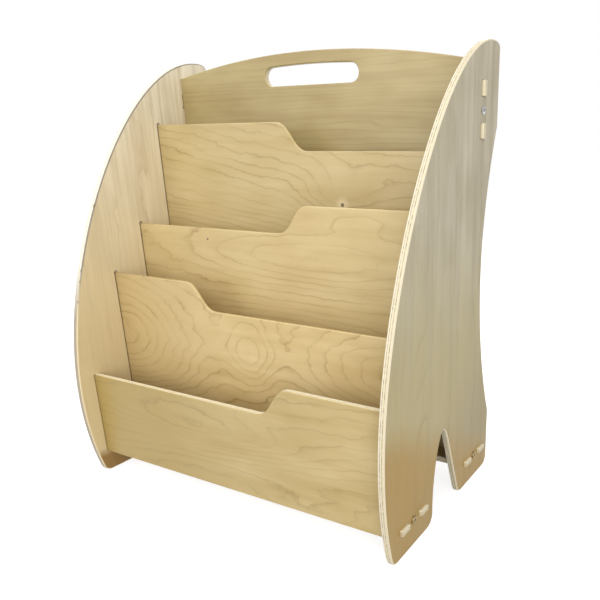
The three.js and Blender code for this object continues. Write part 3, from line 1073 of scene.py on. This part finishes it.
@dataclass
class Sides(SheetGroup):
    """The two shaped sides with their mortises and stopped grooves."""

    sheets: list[PlywoodSheet] = field(default_factory=lambda: [
        PlywoodSheet("left_side_panel", Lay.SIDE_WALL, "side_plywood", LEFT_VENEER, LEFT_EDGE),
        PlywoodSheet("right_side_panel", Lay.SIDE_WALL, "side_plywood", RIGHT_VENEER, RIGHT_EDGE),
    ])


@dataclass
class Tiers(SheetGroup):
    """The front panel, the three stepped dividers and the arched back."""

    sheets: list[PlywoodSheet] = field(default_factory=lambda: [
        PlywoodSheet(
            node, Lay.UPRIGHT, "panel_plywood", veneer, edge, ends, face_cosine=OVER_CORNER,
        )
        for node, veneer, edge, ends in (
            ("front_panel", FRONT_PANEL_VENEER, THICK_EDGE, None),
            ("front_divider", FRONT_DIVIDER_VENEER, THIN_EDGE, None),
            ("middle_divider", MIDDLE_DIVIDER_VENEER, THIN_EDGE, None),
            ("rear_divider", REAR_DIVIDER_VENEER, THIN_EDGE, None),
            ("back_panel", BACK_VENEER, BACK_EDGE, TENON_END),
        )
    ])


@dataclass
class Floors(SheetGroup):
    """The two tenoned bottom boards and the three pocket floors."""

    sheets: list[PlywoodSheet] = field(default_factory=lambda: [
        PlywoodSheet(node, Lay.LEVEL, "board_plywood", BOARD_VENEER, edge, ends)
        for nodes, edge, ends in (
            (("front_bottom_board", "rear_bottom_board"), THICK_EDGE, TENON_END),
            (("second_pocket_floor", "third_pocket_floor", "rear_pocket_floor"), THIN_EDGE, None),
        )
        for node in nodes
    ])


@dataclass(frozen=True)
class BoltRing:
    """One ring of a bolt's outline.

    Attributes:
        depth_mm: Depth below the top of the head.
        radius_mm: Radius of a round ring, or what is added to a hexagon's.
        hexagon_mm: Width of a hexagon across its flats, or 0 for a round ring.
    """

    depth_mm: float
    radius_mm: float
    hexagon_mm: float = 0.0

    WEDGE = math.tau / 6

    def reach_mm(self, angle: float) -> float:
        """Returns the ring's distance from the bolt's axis at an angle."""
        from_flat = angle % self.WEDGE - self.WEDGE / 2
        return self.radius_mm + self.hexagon_mm / 2 / math.cos(from_flat)


@dataclass
class ConnectorHardware:
    """Connector bolts with thin round heads, and the barrel nuts that they screw into.

    Attributes:
        joints: Where each pair of bolts sits.
        segments: Facets round a bolt.
        head_mm: Diameter of the head.
        head_height_mm: Height of the head.
        rim_mm: Radius of the rounded rim.
        shank_mm: Diameter of the shank.
        point_mm: Length of the shank's point, and how much its radius falls there.
        socket_mm: Hexagon socket across its flats.
        socket_depth_mm: Depth of the socket.
        lip_mm: Depth and width of the broken lip round the socket.
        nut_round_mm: Softening of the nut's edges.
        chrome: Plating of the back panel's bolts.
        painted_shade: Darker, browner copy of the chrome for the boards' bolts: painted shade and
            painted reflection of the wood.
        zinc: Plating of the nuts.
    """

    joints: tuple[str, ...] = ("front_board", "rear_board", "back_panel")
    segments: int = 48
    head_mm: float = 15.0
    head_height_mm: float = 2.4
    rim_mm: float = 1.1
    shank_mm: float = 6.0
    point_mm: tuple[float, float] = (0.8, 0.7)
    socket_mm: float = 4.3
    socket_depth_mm: float = 1.8
    lip_mm: tuple[float, float] = (0.15, 0.2)
    nut_round_mm: float = 0.25
    # The chrome's dark patches are painted dark reflections
    chrome: PlatedSteel = PlatedSteel("chrome_plated_steel_rolled", "#d9dad8", "#57534c", 0.16, 5.0)
    # The boards' bolts: the chrome darker and browner, painted shade and painted reflection of the
    # wood
    painted_shade: PlatedSteel = PlatedSteel("chrome_plated_steel_painted_shade", "#b3a17c", "#80693f", 0.36, 4.0)
    zinc: PlatedSteel = PlatedSteel("zinc_plated_steel_turned", "#b9bbbd", "#8f8f8c", 0.42, 0.8)

    RIM_STEPS = 5
    CRISP_ANGLE = math.radians(40)
    NUT_CRISP_ANGLE = math.radians(50)
    NUT_ROUND_STEPS = 2

    def build(self) -> None:
        """Builds all bolts and dresses the nuts."""
        chrome = self.chrome.material()
        painted_shade = self.painted_shade.material()
        zinc = self.zinc.material()
        for joint in self.joints:
            # The boards' bolts take the darker, browner copy of the chrome: painted shade and
            # reflection
            plating = painted_shade if joint.endswith("board") else chrome
            for side, outward in (("left", -1.0), ("right", 1.0)):
                self._bolt(f"{side}_{joint}_bolt", outward, plating)
                self._dress_nut(f"{side}_{joint}_barrel_nut", zinc)

    def _bolt(self, node: str, outward: float, finish: bpy.types.Material) -> None:
        """Builds one bolt on the axis of its solid.

        Args:
            node: The bolt's solid.
            outward: 1 where the head faces +X, or -1.
            finish: Its plating.
        """
        low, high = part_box(node)
        top = (low + high) / 2
        top.x = high.x if outward > 0 else low.x
        profile = self._profile((high.x - low.x) / MM)
        shape = bmesh.new()
        rings = [self._ring(shape, top, outward, ring) for ring in profile]
        for near, far in zip(rings, rings[1:]):
            for i in range(self.segments):
                j = (i + 1) % self.segments
                shape.faces.new((near[i], near[j], far[j], far[i]))
        shape.faces.new(rings[0])
        shape.faces.new(rings[-1])
        bmesh.ops.recalc_face_normals(shape, faces=shape.faces)
        for face in shape.faces:
            face.smooth = len(face.verts) == 4
        for edge in shape.edges:
            edge.smooth = edge.calc_face_angle() < self.CRISP_ANGLE
        bolt = fit_piece(shape, node + "_plated", node)
        bolt.data.materials.append(finish)
        LOG.info("bolt %s", node)

    def _profile(self, length_mm: float) -> list[BoltRing]:
        """Lists the bolt's rings from the socket's floor round the head to the shank's end.

        Args:
            length_mm: Length of the whole bolt.

        Returns:
            The rings in order.
        """
        head, shank = self.head_mm / 2, self.shank_mm / 2
        lip_depth, lip_width = self.lip_mm
        point_length, point_fall = self.point_mm
        rings = [
            BoltRing(self.socket_depth_mm, 0.0, self.socket_mm),
            BoltRing(lip_depth, 0.0, self.socket_mm),
            BoltRing(0.0, lip_width, self.socket_mm),
        ]
        for step in range(self.RIM_STEPS + 1):
            turn = math.pi / 2 * step / self.RIM_STEPS
            radius = head - self.rim_mm * (1 - math.sin(turn))
            rings.append(BoltRing(self.rim_mm * (1 - math.cos(turn)), radius))
        return rings + [
            BoltRing(self.head_height_mm, head),
            BoltRing(self.head_height_mm, shank),
            BoltRing(length_mm - point_length, shank),
            BoltRing(length_mm, shank - point_fall),
        ]

    def _ring(
        self, shape: bmesh.types.BMesh, top: Vector, outward: float, ring: BoltRing,
    ) -> list[bmesh.types.BMVert]:
        """Adds one ring of points round a bolt's axis.

        Args:
            shape: The bolt's mesh.
            top: Middle of the head's outer face.
            outward: 1 where the head faces +X, or -1.
            ring: Depth and radius of the ring.

        Returns:
            The ring's points in order.
        """
        depth = -outward * ring.depth_mm * MM
        points = []
        for i in range(self.segments):
            angle = math.tau * i / self.segments
            reach = ring.reach_mm(angle) * MM
            offset = Vector((depth, reach * math.cos(angle), reach * math.sin(angle)))
            points.append(shape.verts.new(top + offset))
        return points

    def _dress_nut(self, node: str, finish: bpy.types.Material) -> None:
        """Plates one barrel nut and softens its edges.

        Args:
            node: The nut's solid.
            finish: Its plating.
        """
        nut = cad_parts[node]
        nut.data.materials.clear()
        nut.data.materials.append(finish)
        soft = nut.modifiers.new("soft_edges", "BEVEL")
        soft.width = self.nut_round_mm * MM
        soft.segments = self.NUT_ROUND_STEPS
        soft.limit_method = "ANGLE"
        soft.angle_limit = self.NUT_CRISP_ANGLE


@dataclass(frozen=True)
class Softbox:
    """A square soft lamp.

    Attributes:
        name: Lamp name.
        place: Where it hangs.
        target: What it points at.
        side: Side of the square.
        watts: Its power.
    """

    name: str
    place: Place
    target: Place
    side: float
    watts: float

    def hang(self) -> None:
        """Adds the lamp to the scene."""
        light = bpy.data.lights.new(self.name, "AREA")
        light.size = self.side
        light.energy = self.watts
        aim = Vector(self.target) - Vector(self.place)
        lamp = bpy.data.objects.new(self.name, light)
        lamp.location = self.place
        lamp.rotation_euler = aim.to_track_quat("-Z", "Y").to_euler()
        bpy.context.scene.collection.objects.link(lamp)


@dataclass
class Studio:
    """White sweep, soft lamps and the camera.

    Attributes:
        focal_px: Focal length in pixels of the square image.
        centre_px: Where the lens axis meets the image, from its top left corner.
        yaw: Turn of the camera to the left.
        pitch: Tilt of the camera downwards.
        eye_mm: Camera place.
        ambient: Light from all round.
        paper: Share of light that the floor throws back.
        floor_glow: Part of the floor's white that shadows don't reach.
        lamps: The soft lamps.
    """

    focal_px: float = 614.8
    centre_px: tuple[float, float] = (416.8, 359.7)
    yaw: float = math.radians(27.346)
    pitch: float = math.radians(18.917)
    eye_mm: Place = (763.8, -908.4, 638.7)
    ambient: float = 0.48
    paper: float = 0.45
    floor_glow: float = 0.82
    lamps: tuple[Softbox, ...] = (
        Softbox("overhead_softbox", (-0.2, -0.9, 3.3), (0.0, 0.0, 0.5), 2.6, 46.0),
        Softbox("right_front_softbox", (2.5, -2.6, 1.5), (0.0, 0.0, 0.4), 3.0, 88.0),
        Softbox("left_front_softbox", (-1.2, -3.2, 1.4), (0.1, 0.0, 0.45), 1.8, 26.0),
        Softbox("rear_softbox", (-1.5, 3.0, 1.7), (0.0, 0.0, 0.4), 2.2, 48.0),
    )

    FLOOR_SIDE = 14.0
    CLIP_START = 0.05

    def build(self) -> None:
        """Sets the stage, the lamps and the camera."""
        self._floor()
        self._world()
        for lamp in self.lamps:
            lamp.hang()
        self._camera()
        bpy.context.scene.view_settings.view_transform = "Standard"

    def _seen_white(self, tree: Tree) -> Feed:
        """Gives 1 for rays from the camera, mirrors and glass, where the background is white.

        Args:
            tree: Nodes of the floor or the world.

        Returns:
            A value.
        """
        path = add(tree, "LightPath").outputs
        seen = path["Is Camera Ray"]
        for kind in ("Is Glossy Ray", "Is Transmission Ray"):
            seen = add(tree, "Math", {0: seen, 1: path[kind]}, operation="MAXIMUM")
        return seen

    def _floor(self) -> None:
        """Lays the white floor, which glows for the camera and keeps the shadow."""
        bpy.ops.mesh.primitive_plane_add(size=self.FLOOR_SIDE)
        floor = bpy.context.object
        floor.name = "studio_floor"
        made, tree = bare_material("white_paper_sweep")
        paper = add(tree, "BsdfDiffuse", {"Color": grey(self.paper)})
        glow = add(tree, "Emission", {"Color": grey(1.0), "Strength": self.floor_glow})
        bright = add(tree, "AddShader", {0: paper, 1: glow})
        mixed = add(tree, "MixShader", {0: self._seen_white(tree), 1: paper, 2: bright})
        add(tree, "OutputMaterial", {"Surface": mixed})
        floor.data.materials.append(made)

    def _world(self) -> None:
        """Makes an even soft light that looks white behind the object."""
        world = bpy.data.worlds.new("studio_world")
        bpy.context.scene.world = world
        world.use_nodes = True
        tree = world.node_tree
        tree.nodes.clear()
        seen = self._seen_white(tree)
        strength = add(tree, "MapRange", {"Value": seen, TO: (self.ambient, 1.0)})
        sky = add(tree, "Background", {"Color": grey(1.0), "Strength": strength})
        add(tree, "OutputWorld", {"Surface": sky})

    def _camera(self) -> None:
        """Sets the camera to the photograph's place, angle and framing."""
        lens = bpy.data.cameras.new("photo_camera")
        lens.sensor_width = SENSOR_MM
        lens.lens = self.focal_px / IMAGE_SIDE_PX * SENSOR_MM
        lens.shift_x = 0.5 - self.centre_px[0] / IMAGE_SIDE_PX
        lens.shift_y = self.centre_px[1] / IMAGE_SIDE_PX - 0.5
        lens.clip_start = self.CLIP_START
        camera = bpy.data.objects.new("photo_camera", lens)
        camera.location = Vector(self.eye_mm) * MM
        camera.rotation_euler = (math.pi / 2 - self.pitch, 0.0, self.yaw)
        bpy.context.scene.collection.objects.link(camera)
        bpy.context.scene.camera = camera


def main() -> None:
    """Builds the bin's sub-assemblies and the studio in order."""
    logging.basicConfig(level=logging.INFO, format="%(message)s")
    for assembly in (Studio(), Sides(), Tiers(), Floors(), ConnectorHardware()):
        assembly.build()
        LOG.info("%s done", type(assembly).__name__)


if __name__ == "__main__":
    main()
